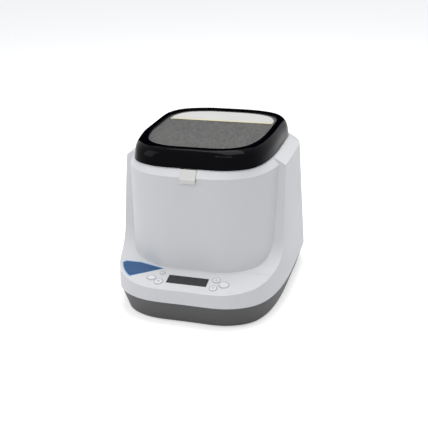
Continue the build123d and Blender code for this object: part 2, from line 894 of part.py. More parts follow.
# Lid frame: glossy moulding with a flat border and a rolled shoulder
shoulder_steps = ((0.0, 0.0), (0.45, 0.16), (0.84, 0.52), (1.0, 1.0))
window_top_z = lid_top_z - lid_wall
window_foot_z = window_top_z - window_thickness
gasket_foot_z = window_foot_z - gasket_thickness
liner_z = flange_z + seal_height
hinge_x = 38.0
hinge_y = 135.5
hinge_z = 243.0
hinge_radius = 4.5
hinge_pin_radius = 2.0
hinge_ear_near = 9.3
hinge_ear_far = 17.0
hinge_slot_y = 120.0
liner_slot_y = 124.5
hinge_slot_top_z = 249.0
lid_boss_radius = 2.8
lid_screw_radius = 1.2
lid_screw_head = 2.4
lid_boss_spots = [
    (side * x, y)
    for x, y in ((62.0, -96.5), (94.0, -62.0), (98.5, 88.0), (68.0, 120.0), (11.0, 127.5))
    for side in (-1, 1)
]


def lid_levels(inset, top_z):
    """Outlines that climb the lid's shoulder to one height."""
    levels = []
    for climb, share in shoulder_steps:
        height = lid_foot_z + climb * (top_z - lid_foot_z)
        levels.append(draw_plan(blend(lid_foot, lid_brow, share).inset(inset), height))
    return levels


def hinge_slots(low_z, high_z, front_y):
    """Blocks round both hinges, taken from the lid's pieces."""
    with BuildPart() as slots:
        with BuildSketch(level(low_z)):
            with Locations((-hinge_x, front_y), (hinge_x, front_y)):
                Rectangle(2 * hinge_ear_far + 1, 40, align=(Align.CENTER, Align.MIN))
        extrude(amount=high_z - low_z)
    return slots.part


with BuildPart() as lid_core:
    loft(lid_levels(lid_wall, window_top_z))
    with BuildSketch(level(liner_z + liner_thickness)):
        with Locations(*lid_boss_spots):
            Circle(lid_boss_radius)
    extrude(amount=lid_top_z - liner_z, mode=Mode.SUBTRACT)

with BuildPart() as lid_frame:
    loft(lid_levels(0, lid_top_z))
    add(lid_core.part, mode=Mode.SUBTRACT)
    extrude(
        draw_plan(lid_brow.inset(lid_border), window_top_z - 1),
        amount=lid_wall + 2,
        mode=Mode.SUBTRACT,
    )
    with BuildSketch(level(liner_z)):
        with Locations(*lid_boss_spots):
            Circle(lid_screw_radius + screw_gap)
    extrude(amount=10, mode=Mode.SUBTRACT)
    add(hinge_slots(lid_foot_z - 1, hinge_slot_top_z, hinge_slot_y), mode=Mode.SUBTRACT)
lid_frame.part.label = "lid_frame"
export_step(lid_frame.part, "parts/lid_frame.step")

window_edge = 4.0
with BuildPart() as lid_window:
    extrude(draw_plan(lid_brow.inset(window_edge), window_foot_z), amount=window_thickness)
lid_window.part.label = "lid_window"
export_step(lid_window.part, "parts/lid_window.step")

well_inset = lid_border + 0.5
well_inner = well_inset + liner_thickness
with BuildPart() as window_gasket:
    extrude(draw_plan(lid_brow.inset(window_edge + 1), gasket_foot_z), amount=gasket_thickness)
    extrude(
        draw_plan(lid_brow.inset(well_inner), gasket_foot_z),
        amount=gasket_thickness,
        mode=Mode.SUBTRACT,
    )
window_gasket.part.label = "window_gasket"
export_step(window_gasket.part, "parts/window_gasket.step")

hook_notch = 22.0
hook_notch_rear_y = -96.5
with BuildPart() as lid_liner:
    extrude(draw_plan(lid_foot.inset(liner_inset), liner_z), amount=liner_thickness)
    extrude(draw_plan(lid_brow.inset(well_inset), liner_z), amount=gasket_foot_z - liner_z)
    extrude(
        draw_plan(lid_brow.inset(well_inner), liner_z - 1),
        amount=gasket_foot_z - liner_z + 2,
        mode=Mode.SUBTRACT,
    )
    with BuildSketch(level(liner_z)):
        with Locations((0, hook_notch_rear_y)):
            Rectangle(hook_notch, 20, align=(Align.CENTER, Align.MAX))
        with Locations((lock_x, lock_y)):
            Circle(lock_radius + 2 * slide_gap)
        with Locations(*lid_boss_spots):
            Circle(lid_screw_radius + screw_gap)
    extrude(amount=liner_thickness, mode=Mode.SUBTRACT)
    with BuildSketch(level(liner_z)):
        with Locations(*lid_boss_spots):
            Circle(lid_screw_head + seat_gap)
    extrude(amount=liner_thickness - 1, mode=Mode.SUBTRACT)
    add(hinge_slots(liner_z - 1, gasket_foot_z - 2, liner_slot_y), mode=Mode.SUBTRACT)
lid_liner.part.label = "lid_liner"
export_step(lid_liner.part, "parts/lid_liner.step")

with BuildPart() as liner_screws:
    with BuildSketch(level(liner_z + liner_thickness - 1)):
        with Locations(*lid_boss_spots):
            Circle(lid_screw_radius)
    extrude(amount=8)
    with BuildSketch(level(liner_z + seat_gap)):
        with Locations(*lid_boss_spots):
            Circle(lid_screw_head)
    extrude(amount=liner_thickness - 1 - seat_gap)
liner_screws.part.label = "liner_screws"
export_step(liner_screws.part, "parts/liner_screws.step")

label_low_y = 57.0
label_edge = 14.0
label_thickness = 0.3
with BuildPart() as label_plate:
    extrude(draw_plan(lid_brow.inset(label_edge), window_top_z), amount=label_thickness)
    with BuildSketch(level(window_top_z)):
        with Locations((0, label_low_y)):
            Rectangle(housing_width, housing_depth, align=(Align.CENTER, Align.MAX))
    extrude(amount=label_thickness, mode=Mode.SUBTRACT)
label_plate.part.label = "label_plate"
export_step(label_plate.part, "parts/label_plate.step")

striker_y = -105.4
striker_bar = 2.4
striker_low_z = 238.6
striker_bar_height = 2.0
striker_half = 14.0
striker_leg = 3.0
striker_length = 8.4
with BuildPart() as lid_striker:
    with BuildSketch(level(striker_low_z)):
        with Locations((0, striker_y)):
            Rectangle(2 * striker_half, striker_bar, align=(Align.CENTER, Align.MIN))
    extrude(amount=striker_bar_height)
    with BuildSketch(level(striker_low_z)):
        for x in (striker_leg / 2 - striker_half, striker_half - striker_leg / 2):
            with Locations((x, striker_y)):
                Rectangle(striker_leg, striker_length, align=(Align.CENTER, Align.MIN))
    extrude(amount=liner_z - striker_low_z)
lid_striker.part.label = "lid_striker"
export_step(lid_striker.part, "parts/lid_striker.step")

# Hinges: an arm of two ears under the liner, a bracket on the rim, a pin
arm_front_y = 118.0
arm_low_z = 238.5
bracket_front_y = 120.0
bracket_thickness = 2.5
ear_points = (
    (arm_front_y, arm_low_z),
    (hinge_y, arm_low_z),
    (hinge_y, hinge_z + hinge_radius),
    (liner_slot_y + 0.5, liner_z),
    (arm_front_y, liner_z),
)
lug_points = (
    (124.0, rim_z + bracket_thickness - 0.1),
    (124.0, rim_z),
    (131.5, rim_z),
    (137.5, 239.0),
    (hinge_y, hinge_z),
    (133.0, 246.7),
)
for name, side in sides.items():
    middle = side * hinge_x
    ear_middle = (hinge_ear_near + hinge_ear_far) / 2
    ear_width = hinge_ear_far - hinge_ear_near
    with BuildPart() as hinge_arm:
        for x in (middle - ear_middle, middle + ear_middle):
            extrude(side_face(x, ear_points), amount=ear_width / 2, both=True)
            with BuildSketch(Plane.YZ.offset(x)):
                with Locations((hinge_y, hinge_z)):
                    Circle(hinge_radius)
            extrude(amount=ear_width / 2, both=True)
        with BuildSketch(level(arm_low_z)):
            with Locations((middle, arm_front_y)):
                Rectangle(2 * hinge_ear_far, 4.5, align=(Align.CENTER, Align.MIN))
        extrude(amount=liner_z - arm_low_z)
        with BuildSketch(Plane.YZ.offset(middle)):
            with Locations((hinge_y, hinge_z)):
                Circle(hinge_pin_radius + running_gap)
        extrude(amount=2 * hinge_ear_far, both=True, mode=Mode.SUBTRACT)
    hinge_arm.part.label = f"hinge_arm_{name}"
    export_step(hinge_arm.part, f"parts/hinge_arm_{name}.step")

    with BuildPart() as hinge_bracket:
        extrude(side_face(middle, lug_points), amount=hinge_ear_near - seat_gap, both=True)
        with BuildSketch(Plane.YZ.offset(middle)):
            with Locations((hinge_y, hinge_z)):
                Circle(hinge_radius)
        extrude(amount=hinge_ear_near - seat_gap, both=True)
        with BuildSketch(level(rim_z)):
            with Locations((middle, bracket_front_y)):
                Rectangle(28, 10, align=(Align.CENTER, Align.MIN))
        extrude(amount=bracket_thickness)
        with BuildSketch(Plane.YZ.offset(middle)):
            with Locations((hinge_y, hinge_z)):
                Circle(hinge_pin_radius + running_gap)
        extrude(amount=hinge_ear_far, both=True, mode=Mode.SUBTRACT)
    hinge_bracket.part.label = f"hinge_bracket_{name}"
    export_step(hinge_bracket.part, f"parts/hinge_bracket_{name}.step")

    with BuildPart() as hinge_pin:
        with BuildSketch(Plane.YZ.offset(middle)):
            with Locations((hinge_y, hinge_z)):
                Circle(hinge_pin_radius)
        extrude(amount=hinge_ear_far, both=True)
    hinge_pin.part.label = f"hinge_pin_{name}"
    export_step(hinge_pin.part, f"parts/hinge_pin_{name}.step")

# Latch: sprung tab on the rim with a hook over the lid's striker
tab_points = (
    (-109.7, 234.5),
    (-117.4, 224.5),
    (-119.9, 221.3),
    (-120.6, 216.0),
    (-119.1, 215.8),
    (-118.3, 220.9),
    (-116.2, 223.6),
    (-108.5, 233.6),
)
web_points = ((-113.6, 229.6), (-114.6, 226.6), (-107.0, 226.6), (-107.0, 229.6))
hook_points = (
    (latch_pin_y, 225.6),
    (-99.8, 225.6),
    (-99.8, 243.5),
    (-104.0, 243.5),
    (-105.2, 242.3),
    (-105.2, 241.2),
    (-102.4, 241.2),
    (-102.4, 230.0),
    (latch_pin_y, 230.0),
)

with BuildPart() as latch_tab:
    extrude(side_face(0, tab_points), amount=latch_width / 2, both=True)
    extrude(side_face(0, web_points), amount=latch_barrel_width / 2, both=True)
    with BuildSketch(Plane.YZ):
        with Locations((latch_pin_y, latch_pin_z)):
            Circle(latch_barrel_radius)
    extrude(amount=latch_barrel_width / 2, both=True)
    extrude(side_face(0, hook_points), amount=hook_width / 2, both=True)
    with BuildSketch(Plane.YZ):
        with Locations((latch_pin_y, latch_pin_z)):
            Circle(latch_pin_radius + running_gap)
    extrude(amount=latch_width, both=True, mode=Mode.SUBTRACT)
latch_tab.part.label = "latch_tab"
export_step(latch_tab.part, "parts/latch_tab.step")

with BuildPart() as latch_block:
    with BuildSketch(level(latch_floor_z)):
        with Locations((0, -106.0)):
            Rectangle(latch_width, 16)
    extrude(amount=3.2)
    ear_x = latch_barrel_width / 2 + slide_gap + latch_ear / 2
    for x in (-ear_x, ear_x):
        with BuildSketch(Plane.YZ.offset(x)):
            Polygon(
                (-110.5, latch_floor_z),
                (-101.0, latch_floor_z),
                (-104.0, 230.5),
                (-109.0, 230.5),
                align=None,
            )
        extrude(amount=latch_ear / 2 - 0.05, both=True)
    with BuildSketch(Plane.YZ):
        with Locations((latch_pin_y, latch_pin_z)):
            Circle(latch_pin_radius + running_gap)
    extrude(amount=latch_width, both=True, mode=Mode.SUBTRACT)
latch_block.part.label = "latch_block"
export_step(latch_block.part, "parts/latch_block.step")

with BuildPart() as latch_pin:
    with BuildSketch(Plane.YZ):
        with Locations((latch_pin_y, latch_pin_z)):
            Circle(latch_pin_radius)
    extrude(amount=latch_width / 2, both=True)
latch_pin.part.label = "latch_pin"
export_step(latch_pin.part, "parts/latch_pin.step")

# Lid lock: solenoid under the rim, plunger up through it into the liner
with BuildPart() as lock_solenoid:
    with BuildSketch(level(lock_low_z)):
        with Locations((lock_x, lock_y)):
            RectangleRounded(*lock_size, 1.5)
    extrude(amount=rim_z - wall - lock_low_z)
    with BuildSketch(level(lock_low_z + 5)):
        with Locations((lock_x, lock_y)):
            Circle(lock_radius + running_gap)
    extrude(amount=rim_z - lock_low_z, mode=Mode.SUBTRACT)
lock_solenoid.part.label = "lock_solenoid"
export_step(lock_solenoid.part, "parts/lock_solenoid.step")

with BuildPart() as lock_plunger:
    with BuildSketch(level(lock_low_z + 7)):
        with Locations((lock_x, lock_y)):
            Circle(lock_radius)
    extrude(amount=lock_rest_z - lock_low_z - 7)
    chamfer(lock_plunger.faces().sort_by(Axis.Z)[-1].edges(), length=0.8)
lock_plunger.part.label = "lock_plunger"
export_step(lock_plunger.part, "parts/lock_plunger.step")

# Rear panel with vents, power inlet and rocker switch
panel_rear = Plane(origin=(0, panel_y, panel_z), x_dir=(-1, 0, 0), z_dir=(0, 1, 0))
inlet_x = -40.0
inlet_size = (27.0, 19.5)
inlet_depth = 22.0
inlet_flange = (32.0, 24.5)
inlet_cavity = (23.6, 16.0)
inlet_cavity_depth = 17.0
flange_plate = 2.0
rocker_x = -10.0
rocker_width = 11.0
rocker_half = 8.2
rocker_tilt = 7.0
rocker_pin_radius = 1.2
frame_opening = (11.6, 18.6)
frame_wall = 1.2
frame_flange = 2.0
frame_depth = 11.0
vent_x = 40.0
panel_screw_x = (panel_size[0] - panel_screw_inset) / 2
panel_screw_z = (panel_size[1] - panel_screw_inset) / 2
panel_screw_spots = [
    (x, z) for x in (-panel_screw_x, panel_screw_x) for z in (-panel_screw_z, panel_screw_z)
]
frame_body = (frame_opening[0] + 2 * frame_wall, frame_opening[1] + 2 * frame_wall)

with BuildPart() as rear_panel:
    with BuildSketch(panel_rear):
        RectangleRounded(*panel_size, 1.5)
        with Locations((-inlet_x, 0)):
            Rectangle(inlet_size[0] + 0.6, inlet_size[1] + 0.6, mode=Mode.SUBTRACT)
        with Locations((-rocker_x, 0)):
            Rectangle(frame_body[0] + 0.6, frame_body[1] + 0.6, mode=Mode.SUBTRACT)
        with Locations((-vent_x, 0)):
            with GridLocations(7, 0, 6, 1):
                SlotOverall(38, 3, rotation=90, mode=Mode.SUBTRACT)
        with Locations(*panel_screw_spots):
            Circle(panel_screw_radius + screw_gap, mode=Mode.SUBTRACT)
    extrude(amount=panel_thickness)
rear_panel.part.label = "rear_panel"
export_step(rear_panel.part, "parts/rear_panel.step")

with BuildPart() as panel_screws:
    with BuildSketch(panel_rear.offset(-3)):
        with Locations(*panel_screw_spots):
            Circle(panel_screw_radius)
    extrude(amount=3 + panel_thickness)
    add(
        screw_heads(
            panel_screw_spots,
            panel_rear.offset(panel_thickness),
            2.8,
            1.6,
            1.3,
        )
    )
panel_screws.part.label = "panel_screws"
export_step(panel_screws.part, "parts/panel_screws.step")

with BuildPart() as power_inlet:
    with BuildSketch(panel_rear.offset(panel_thickness)):
        with Locations((-inlet_x, 0)):
            RectangleRounded(*inlet_flange, 2)
    extrude(amount=flange_plate)
    with BuildSketch(panel_rear.offset(panel_thickness)):
        with Locations((-inlet_x, 0)):
            Rectangle(*inlet_size)
    extrude(amount=-inlet_depth)
    with BuildSketch(panel_rear.offset(panel_thickness + flange_plate)):
        with Locations((-inlet_x, 0)):
            RectangleRounded(*inlet_cavity, 3)
    extrude(amount=-inlet_cavity_depth, mode=Mode.SUBTRACT)
    with BuildSketch(panel_rear.offset(panel_thickness + flange_plate - inlet_cavity_depth)):
        with Locations((-inlet_x - 7, -1), (-inlet_x + 7, -1), (-inlet_x, 2.5)):
            Rectangle(2, 4)
    extrude(amount=inlet_cavity_depth - 4.5)
power_inlet.part.label = "power_inlet"
export_step(power_inlet.part, "parts/power_inlet.step")

with BuildPart() as switch_frame:
    with BuildSketch(panel_rear.offset(panel_thickness)):
        with Locations((-rocker_x, 0)):
            RectangleRounded(
                frame_body[0] + 2 * frame_flange, frame_body[1] + 2 * frame_flange, 1
            )
    extrude(amount=1.6)
    with BuildSketch(panel_rear.offset(panel_thickness)):
        with Locations((-rocker_x, 0)):
            Rectangle(*frame_body)
    extrude(amount=-frame_depth)
    with BuildSketch(panel_rear.offset(panel_thickness + 2)):
        with Locations((-rocker_x, 0)):
            Rectangle(*frame_opening)
    extrude(amount=-frame_depth, mode=Mode.SUBTRACT)
    with BuildSketch(Plane.YZ.offset(rocker_x)):
        with Locations((panel_y, panel_z)):
            Circle(rocker_pin_radius + running_gap)
    extrude(amount=rocker_width / 2 + 1.1, both=True, mode=Mode.SUBTRACT)
switch_frame.part.label = "switch_frame"
export_step(switch_frame.part, "parts/switch_frame.step")


def rocker_point(out, up):
    """Place of a point of the rocker's side view, tipped to its rest."""
    turn = radians(rocker_tilt)
    return (
        panel_y + out * cos(turn) + up * sin(turn),
        panel_z - out * sin(turn) + up * cos(turn),
    )


rocker_points = [
    rocker_point(-4.5, -rocker_half + 1.5),
    rocker_point(3.9, -rocker_half),
    rocker_point(2.6, 0),
    rocker_point(3.9, rocker_half),
    rocker_point(-4.5, rocker_half - 1.5),
]
with BuildPart() as rocker_switch:
    extrude(side_face(rocker_x, rocker_points), amount=rocker_width / 2, both=True)
    with BuildSketch(Plane.YZ.offset(rocker_x)):
        with Locations((panel_y, panel_z)):
            Circle(rocker_pin_radius)
    extrude(amount=rocker_width / 2 + 0.8, both=True)
rocker_switch.part.label = "rocker_switch"
export_step(rocker_switch.part, "parts/rocker_switch.step")
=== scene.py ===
from math import cos, radians, sin

import bmesh
import bpy
from mathutils import Matrix, Vector


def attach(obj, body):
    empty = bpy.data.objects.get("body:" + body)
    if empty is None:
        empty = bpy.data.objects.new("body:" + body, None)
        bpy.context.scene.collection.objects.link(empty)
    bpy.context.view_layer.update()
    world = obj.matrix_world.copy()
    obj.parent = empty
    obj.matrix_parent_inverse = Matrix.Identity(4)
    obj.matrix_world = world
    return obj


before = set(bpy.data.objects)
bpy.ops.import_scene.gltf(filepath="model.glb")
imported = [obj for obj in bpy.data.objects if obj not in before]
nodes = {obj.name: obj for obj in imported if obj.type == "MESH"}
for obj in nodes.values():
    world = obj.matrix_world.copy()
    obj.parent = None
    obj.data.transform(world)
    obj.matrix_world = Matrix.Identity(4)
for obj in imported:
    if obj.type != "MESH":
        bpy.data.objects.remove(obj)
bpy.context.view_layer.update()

# Camera and room
# The instrument stands on a pale bench in soft studio light, seen from the front,
# a little from its right and from above, through a lens of about 65 mm.
turn, lift, roll = radians(17.3), radians(23.0), radians(-1.82)
aim = Vector((-0.0016, 0.014, 0.1128))
distance = 1.2885
away = Vector((sin(turn) * cos(lift), -cos(turn) * cos(lift), sin(lift)))
across = (-away).cross(Vector((0, 0, 1))).normalized()
upward = across.cross(-away)
camera_x = across * cos(roll) + upward * sin(roll)
camera_y = upward * cos(roll) - across * sin(roll)
lens = bpy.data.cameras.new("camera")
lens.sensor_width = 36
lens.lens = 65.46
lens.clip_end = 60
camera = bpy.data.objects.new("camera", lens)
bpy.context.scene.collection.objects.link(camera)
pose = Matrix((camera_x, camera_y, away)).transposed().to_4x4()
pose.translation = aim + away * distance
camera.matrix_world = pose
bpy.context.scene.camera = camera
bpy.context.scene.view_settings.view_transform = "Standard"


def node_tree(name):
    """A new material's nodes, its links and its Principled shader."""
    material = bpy.data.materials.new(name)
    material.use_nodes = True
    tree = material.node_tree
    return material, tree, tree.nodes["Principled BSDF"]


def seen_directly(tree):
    """1 for rays from the camera, and through or off glass and metal."""
    path = tree.nodes.new("ShaderNodeLightPath")
    first = tree.nodes.new("ShaderNodeMath")
    second = tree.nodes.new("ShaderNodeMath")
    first.operation = second.operation = "MAXIMUM"
    tree.links.new(path.outputs["Is Camera Ray"], first.inputs[0])
    tree.links.new(path.outputs["Is Glossy Ray"], first.inputs[1])
    tree.links.new(first.outputs[0], second.inputs[0])
    tree.links.new(path.outputs["Is Transmission Ray"], second.inputs[1])
    return second.outputs[0]


world = bpy.data.worlds.new("studio")
bpy.context.scene.world = world
world.use_nodes = True
sky = world.node_tree
sky_mix = sky.nodes.new("ShaderNodeMix")
sky_mix.data_type = "RGBA"
sky_mix.inputs["A"].default_value = (0.43, 0.435, 0.445, 1)
sky_mix.inputs["B"].default_value = (1, 1, 1, 1)
sky.links.new(seen_directly(sky), sky_mix.inputs["Factor"])
sky.links.new(sky_mix.outputs["Result"], sky.nodes["Background"].inputs["Color"])

bench_radius = 14
bench = bmesh.new()
bmesh.ops.create_circle(bench, cap_ends=True, segments=64, radius=bench_radius)
bench_mesh = bpy.data.meshes.new("bench_top")
bench.to_mesh(bench_mesh)
bench.free()
bench_top = bpy.data.objects.new("bench_top", bench_mesh)
bpy.context.scene.collection.objects.link(bench_top)
bench_material, tree, shader = node_tree("bench_white")
shader.inputs["Base Color"].default_value = (0.82, 0.82, 0.83, 1)
shader.inputs["Roughness"].default_value = 0.9
shader.inputs["Specular IOR Level"].default_value = 0.0
shader.inputs["Emission Color"].default_value = (1, 1, 1, 1)
glow = tree.nodes.new("ShaderNodeMath")
glow.operation = "MULTIPLY"
glow.inputs[1].default_value = 0.52
tree.links.new(seen_directly(tree), glow.inputs[0])
tree.links.new(glow.outputs[0], shader.inputs["Emission Strength"])
bench_mesh.materials.append(bench_material)


def softbox(name, place, target, size, power):
    """A square lamp that faces one point."""
    lamp = bpy.data.lights.new(name, "AREA")
    lamp.shape = "RECTANGLE"
    lamp.size, lamp.size_y = size
    lamp.energy = power
    holder = bpy.data.objects.new(name, lamp)
    holder.location = place
    facing = Vector(target) - Vector(place)
    holder.rotation_euler = facing.to_track_quat("-Z", "Y").to_euler()
    bpy.context.scene.collection.objects.link(holder)


softbox("lamp_over", (0.1, 0.1, 1.9), (0, 0, 0.2), (1.5, 1.0), 22)
softbox("lamp_left", (-1.7, -1.0, 1.1), (0, 0, 0.15), (0.9, 1.2), 7)
softbox("lamp_front", (0.2, -1.3, 1.5), (0, -0.1, 0.2), (0.9, 0.03), 3)

# A black card behind the instrument, which only polished faces see.
card = bmesh.new()
bmesh.ops.create_grid(card, x_segments=1, y_segments=1, size=1.0)
card_turn = Vector((-0.27, 0.88, 0.39)).to_track_quat("Z", "Y").to_matrix().to_4x4()
bmesh.ops.transform(card, matrix=Matrix.Translation((-0.5, 1.7, 0.95)) @ card_turn, verts=card.verts)
card_mesh = bpy.data.meshes.new("black_card")
card.to_mesh(card_mesh)
card.free()
black_card = bpy.data.objects.new("black_card", card_mesh)
bpy.context.scene.collection.objects.link(black_card)
black_card.visible_camera = False
black_card.visible_diffuse = False
black_card.visible_shadow = False
black_card.visible_transmission = False
card_material, tree, shader = node_tree("card_black")
shader.inputs["Base Color"].default_value = (0.004, 0.004, 0.005, 1)
shader.inputs["Specular IOR Level"].default_value = 0.0
card_mesh.materials.append(card_material)


# Housing
# One thin white ABS moulding: skirt, sloping deck, cheeks, tub and rim. It is
# spark-etched to a fine matte and screwed to the base tray from below.


def moulded_skin():
    """Colour, gloss and height of a finely etched skin whose tone drifts a little."""
    group = bpy.data.node_groups.new("moulded_skin", "ShaderNodeTree")
    face = group.interface
    face.new_socket("Color", in_out="INPUT", socket_type="NodeSocketColor")
    for name in ("Drift", "Grain", "Gloss Low", "Gloss High"):
        face.new_socket(name, in_out="INPUT", socket_type="NodeSocketFloat")
    face.new_socket("Color", in_out="OUTPUT", socket_type="NodeSocketColor")
    face.new_socket("Roughness", in_out="OUTPUT", socket_type="NodeSocketFloat")
    face.new_socket("Height", in_out="OUTPUT", socket_type="NodeSocketFloat")
    new, link = group.nodes.new, group.links.new
    given, result = new("NodeGroupInput"), new("NodeGroupOutput")
    place = new("ShaderNodeTexCoord")
    cloud = new("ShaderNodeTexNoise")
    cloud.inputs["Scale"].default_value = 14
    cloud.inputs["Detail"].default_value = 5
    etch = new("ShaderNodeTexNoise")
    etch.inputs["Detail"].default_value = 2
    link(place.outputs["Object"], cloud.inputs["Vector"])
    link(place.outputs["Object"], etch.inputs["Vector"])
    link(given.outputs["Grain"], etch.inputs["Scale"])
    tone = new("ShaderNodeMath")
    tone.operation = "MULTIPLY_ADD"
    link(cloud.outputs["Fac"], tone.inputs[0])
    link(given.outputs["Drift"], tone.inputs[1])
    bright = new("ShaderNodeMath")
    bright.operation = "MULTIPLY_ADD"
    bright.inputs[1].default_value = -0.5
    bright.inputs[2].default_value = 1.0
    link(given.outputs["Drift"], bright.inputs[0])
    link(bright.outputs[0], tone.inputs[2])
    tint = new("ShaderNodeVectorMath")
    tint.operation = "SCALE"
    link(given.outputs["Color"], tint.inputs[0])
    link(tone.outputs[0], tint.inputs["Scale"])
    gloss = new("ShaderNodeMapRange")
    link(cloud.outputs["Fac"], gloss.inputs["Value"])
    gloss.inputs["From Min"].default_value = 0.3
    gloss.inputs["From Max"].default_value = 0.7
    link(given.outputs["Gloss Low"], gloss.inputs["To Min"])
    link(given.outputs["Gloss High"], gloss.inputs["To Max"])
    link(tint.outputs["Vector"], result.inputs["Color"])
    link(gloss.outputs["Result"], result.inputs["Roughness"])
    link(etch.outputs["Fac"], result.inputs["Height"])
    return group


moulded = moulded_skin()


def plastic(name, color, drift=0.04, grain=900.0, gloss=(0.42, 0.5), bump=0.06, specular=0.5):
    """A moulded plastic in one colour."""
    material, tree, shader = node_tree(name)
    skin = tree.nodes.new("ShaderNodeGroup")
    skin.node_tree = moulded
    skin.inputs["Color"].default_value = (*color, 1)
    skin.inputs["Drift"].default_value = drift
    skin.inputs["Grain"].default_value = grain
    skin.inputs["Gloss Low"].default_value, skin.inputs["Gloss High"].default_value = gloss
    relief = tree.nodes.new("ShaderNodeBump")
    relief.inputs["Strength"].default_value = bump
    relief.inputs["Distance"].default_value = 0.0004
    tree.links.new(skin.outputs["Height"], relief.inputs["Height"])
    tree.links.new(skin.outputs["Color"], shader.inputs["Base Color"])
    tree.links.new(skin.outputs["Roughness"], shader.inputs["Roughness"])
    tree.links.new(relief.outputs["Normal"], shader.inputs["Normal"])
    shader.inputs["Specular IOR Level"].default_value = specular
    return material


def finish_nodes(material, *names):
    """Gives CAD nodes their material, slot by slot."""
    for name in names:
        for slot in nodes[name].material_slots:
            slot.material = material


housing_white = plastic(
    "housing_white",
    (0.715, 0.72, 0.735),
    drift=0.02,
    gloss=(0.42, 0.5),
    bump=0.05,
    specular=0.35,
)
finish_nodes(housing_white, "housing_shell")

# Base tray and feet
# A dark grey tray in the same plastic, drawn in towards the bench, on rubber feet.
base_grey = plastic(
    "base_grey",
    (0.105, 0.105, 0.105),
    drift=0.05,
    gloss=(0.5, 0.6),
    bump=0.1,
    specular=0.25,
)
finish_nodes(base_grey, "base_tray")
foot_rubber = plastic(
    "foot_rubber",
    (0.022, 0.022, 0.023),
    gloss=(0.7, 0.85),
    bump=0.2,
    grain=500,
    specular=0.3,
)
finish_nodes(foot_rubber, "base_feet", "motor_dampers")

# Lid
# Gloss black polycarbonate frame, polished in the mould, over a matt black liner.
lid_black = plastic(
    "lid_black",
    (0.0008, 0.0006, 0.0018),
    drift=0.1,
    grain=300,
    gloss=(0.05, 0.1),
    bump=0.004,
    specular=0.06,
)
finish_nodes(lid_black, "lid_frame")
liner_black = plastic("liner_black", (0.02, 0.02, 0.022), gloss=(0.45, 0.6), bump=0.1)
finish_nodes(liner_black, "lid_liner")
seal_rubber = plastic("seal_rubber", (0.03, 0.03, 0.032), gloss=(0.6, 0.75), bump=0.12, grain=600)
finish_nodes(seal_rubber, "window_gasket", "lid_seal")

# Window and label
# A smoked pane with a fine texture on its face, set down in the frame, and a
# plain label of white film with a cream front edge stuck to its rear part; a thin
# dark olive band of painted shade runs along the label's front edge, in front of the cream.
pane, tree, shader = node_tree("smoked_pane")
place = tree.nodes.new("ShaderNodeTexCoord")
speck = tree.nodes.new("ShaderNodeTexNoise")
speck.inputs["Scale"].default_value = 300
speck.inputs["Detail"].default_value = 3
speck.inputs["Roughness"].default_value = 0.7
shade = tree.nodes.new("ShaderNodeValToRGB")
shade.color_ramp.elements[0].position = 0.3
shade.color_ramp.elements[0].color = (0.075, 0.075, 0.077, 1)
shade.color_ramp.elements[1].position = 0.7
shade.color_ramp.elements[1].color = (0.20, 0.197, 0.19, 1)
gloss = tree.nodes.new("ShaderNodeMapRange")
gloss.inputs["To Min"].default_value = 0.3
gloss.inputs["To Max"].default_value = 0.5
relief = tree.nodes.new("ShaderNodeBump")
relief.inputs["Strength"].default_value = 0.15
relief.inputs["Distance"].default_value = 0.0003
tree.links.new(place.outputs["Object"], speck.inputs["Vector"])
tree.links.new(speck.outputs["Fac"], shade.inputs["Fac"])
tree.links.new(speck.outputs["Fac"], gloss.inputs["Value"])
tree.links.new(speck.outputs["Fac"], relief.inputs["Height"])
tree.links.new(shade.outputs["Color"], shader.inputs["Base Color"])
tree.links.new(gloss.outputs["Result"], shader.inputs["Roughness"])
tree.links.new(relief.outputs["Normal"], shader.inputs["Normal"])
shader.inputs["Specular IOR Level"].default_value = 0.25
finish_nodes(pane, "lid_window")


def bands_along_y(tree, edges):
    """Colours in bands from the front to the rear of a piece."""
    spot = tree.nodes.new("ShaderNodeTexCoord")
    axis = tree.nodes.new("ShaderNodeSeparateXYZ")
    share = tree.nodes.new("ShaderNodeMapRange")
    share.inputs["From Min"].default_value = edges[0][0]
    share.inputs["From Max"].default_value = edges[-1][0]
    ramp = tree.nodes.new("ShaderNodeValToRGB")
    ramp.color_ramp.interpolation = "CONSTANT"
    span = edges[-1][0] - edges[0][0]
    stops = ramp.color_ramp.elements
    while len(stops) < len(edges):
        stops.new(0.5)
    for stop, (edge, color) in zip(stops, edges):
        stop.position = (edge - edges[0][0]) / span
        stop.color = (*color, 1)
    tree.links.new(spot.outputs["Object"], axis.inputs["Vector"])
    tree.links.new(axis.outputs["Y"], share.inputs["Value"])
    tree.links.new(share.outputs["Result"], ramp.inputs["Fac"])
    return ramp.outputs["Color"]


label_white = plastic(
    "label_white",
    (0.66, 0.65, 0.60),
    drift=0.03,
    gloss=(0.35, 0.45),
    bump=0.03,
    specular=0.3,
)
tree = label_white.node_tree
label_film = (0.66, 0.66, 0.645)
# The first band, dark olive, is painted shade along the label's front edge; the cream band and the white
# film are the label's own colours.
label_bands = (
    (0.055, (0.13, 0.12, 0.06)),
    (0.0585, (0.70, 0.66, 0.50)),
    (0.066, label_film),
    (0.2, label_film),
)
tree.links.new(bands_along_y(tree, label_bands), tree.nodes["Group"].inputs["Color"])
finish_nodes(label_white, "label_plate")

